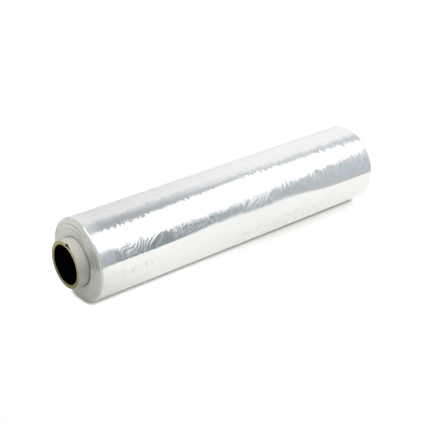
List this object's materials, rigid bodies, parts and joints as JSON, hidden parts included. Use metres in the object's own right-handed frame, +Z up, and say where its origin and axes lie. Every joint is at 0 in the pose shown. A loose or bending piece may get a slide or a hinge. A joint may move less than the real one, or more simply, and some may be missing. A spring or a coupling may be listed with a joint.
{
  "type": "plastic film roll",
  "caption": "Long roll of clear plastic wrapping film wound on a cardboard tube that stands out at one end; lies on its side and turns on a spindle put through the tube.",
  "frame": {"origin": "on the floor, under the middle of the roll's whole length, tube included", "axes": "+X along the roll's axis, from the end where the tube stands out to the flush end; +Z up from the flat spot it lies on"},
  "size_m": [0.4646, 0.106, 0.1055],
  "materials": {
    "film": "clear film in many turns, glossy on the side and satin on the ends",
    "tube_board": "matt spiral-wound board, with a white outer ply and a dark bore"
  },
  "bodies": {
    "root": {"film_winding": "film", "core_tube": "tube_board"}
  },
  "joints": []
}
